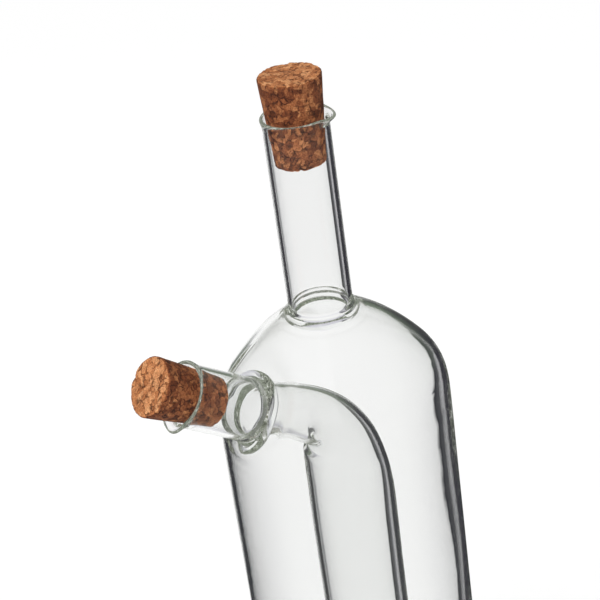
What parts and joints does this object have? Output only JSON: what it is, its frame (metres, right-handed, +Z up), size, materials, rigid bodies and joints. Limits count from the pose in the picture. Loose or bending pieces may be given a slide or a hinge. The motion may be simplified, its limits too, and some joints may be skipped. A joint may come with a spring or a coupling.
{
  "type": "oil and vinegar cruet",
  "caption": "Two-in-one glass cruet: a tall bottle for oil with a bent inner flask for vinegar, a straight top neck, a slanted side spout and a tapered cork in each.",
  "frame": {"origin": "centre of the flat underside of the outer bottle", "axes": "+Z up along the bottle, -X towards the side spout"},
  "size_m": [0.1097, 0.078, 0.2743],
  "materials": {
    "bottle_glass": "clear flame-polished glass with a very slight green tint at the edges",
    "flask_glass": "clear thin flame-worked glass",
    "cork": "matt agglomerated cork, orange-brown with darker grains, pits and cracks"
  },
  "bodies": {
    "glass": {"outer_bottle": "bottle_glass", "neck_weld_ring": "bottle_glass", "top_neck": "bottle_glass", "side_collar": "bottle_glass", "side_neck": "bottle_glass", "inner_flask": "flask_glass"},
    "top_cork": {"top_cork": "cork"},
    "side_cork": {"side_cork": "cork"}
  },
  "joints": [
    {"name": "top_cork_pull", "type": "slide", "parent": "glass", "child": "top_cork", "axis": [0, 0, 1], "range_m": [0, 0.04]},
    {"name": "side_cork_pull", "type": "slide", "parent": "glass", "child": "side_cork", "axis": [-0.8131, 0, 0.5821], "range_m": [0, 0.04]}
  ]
}
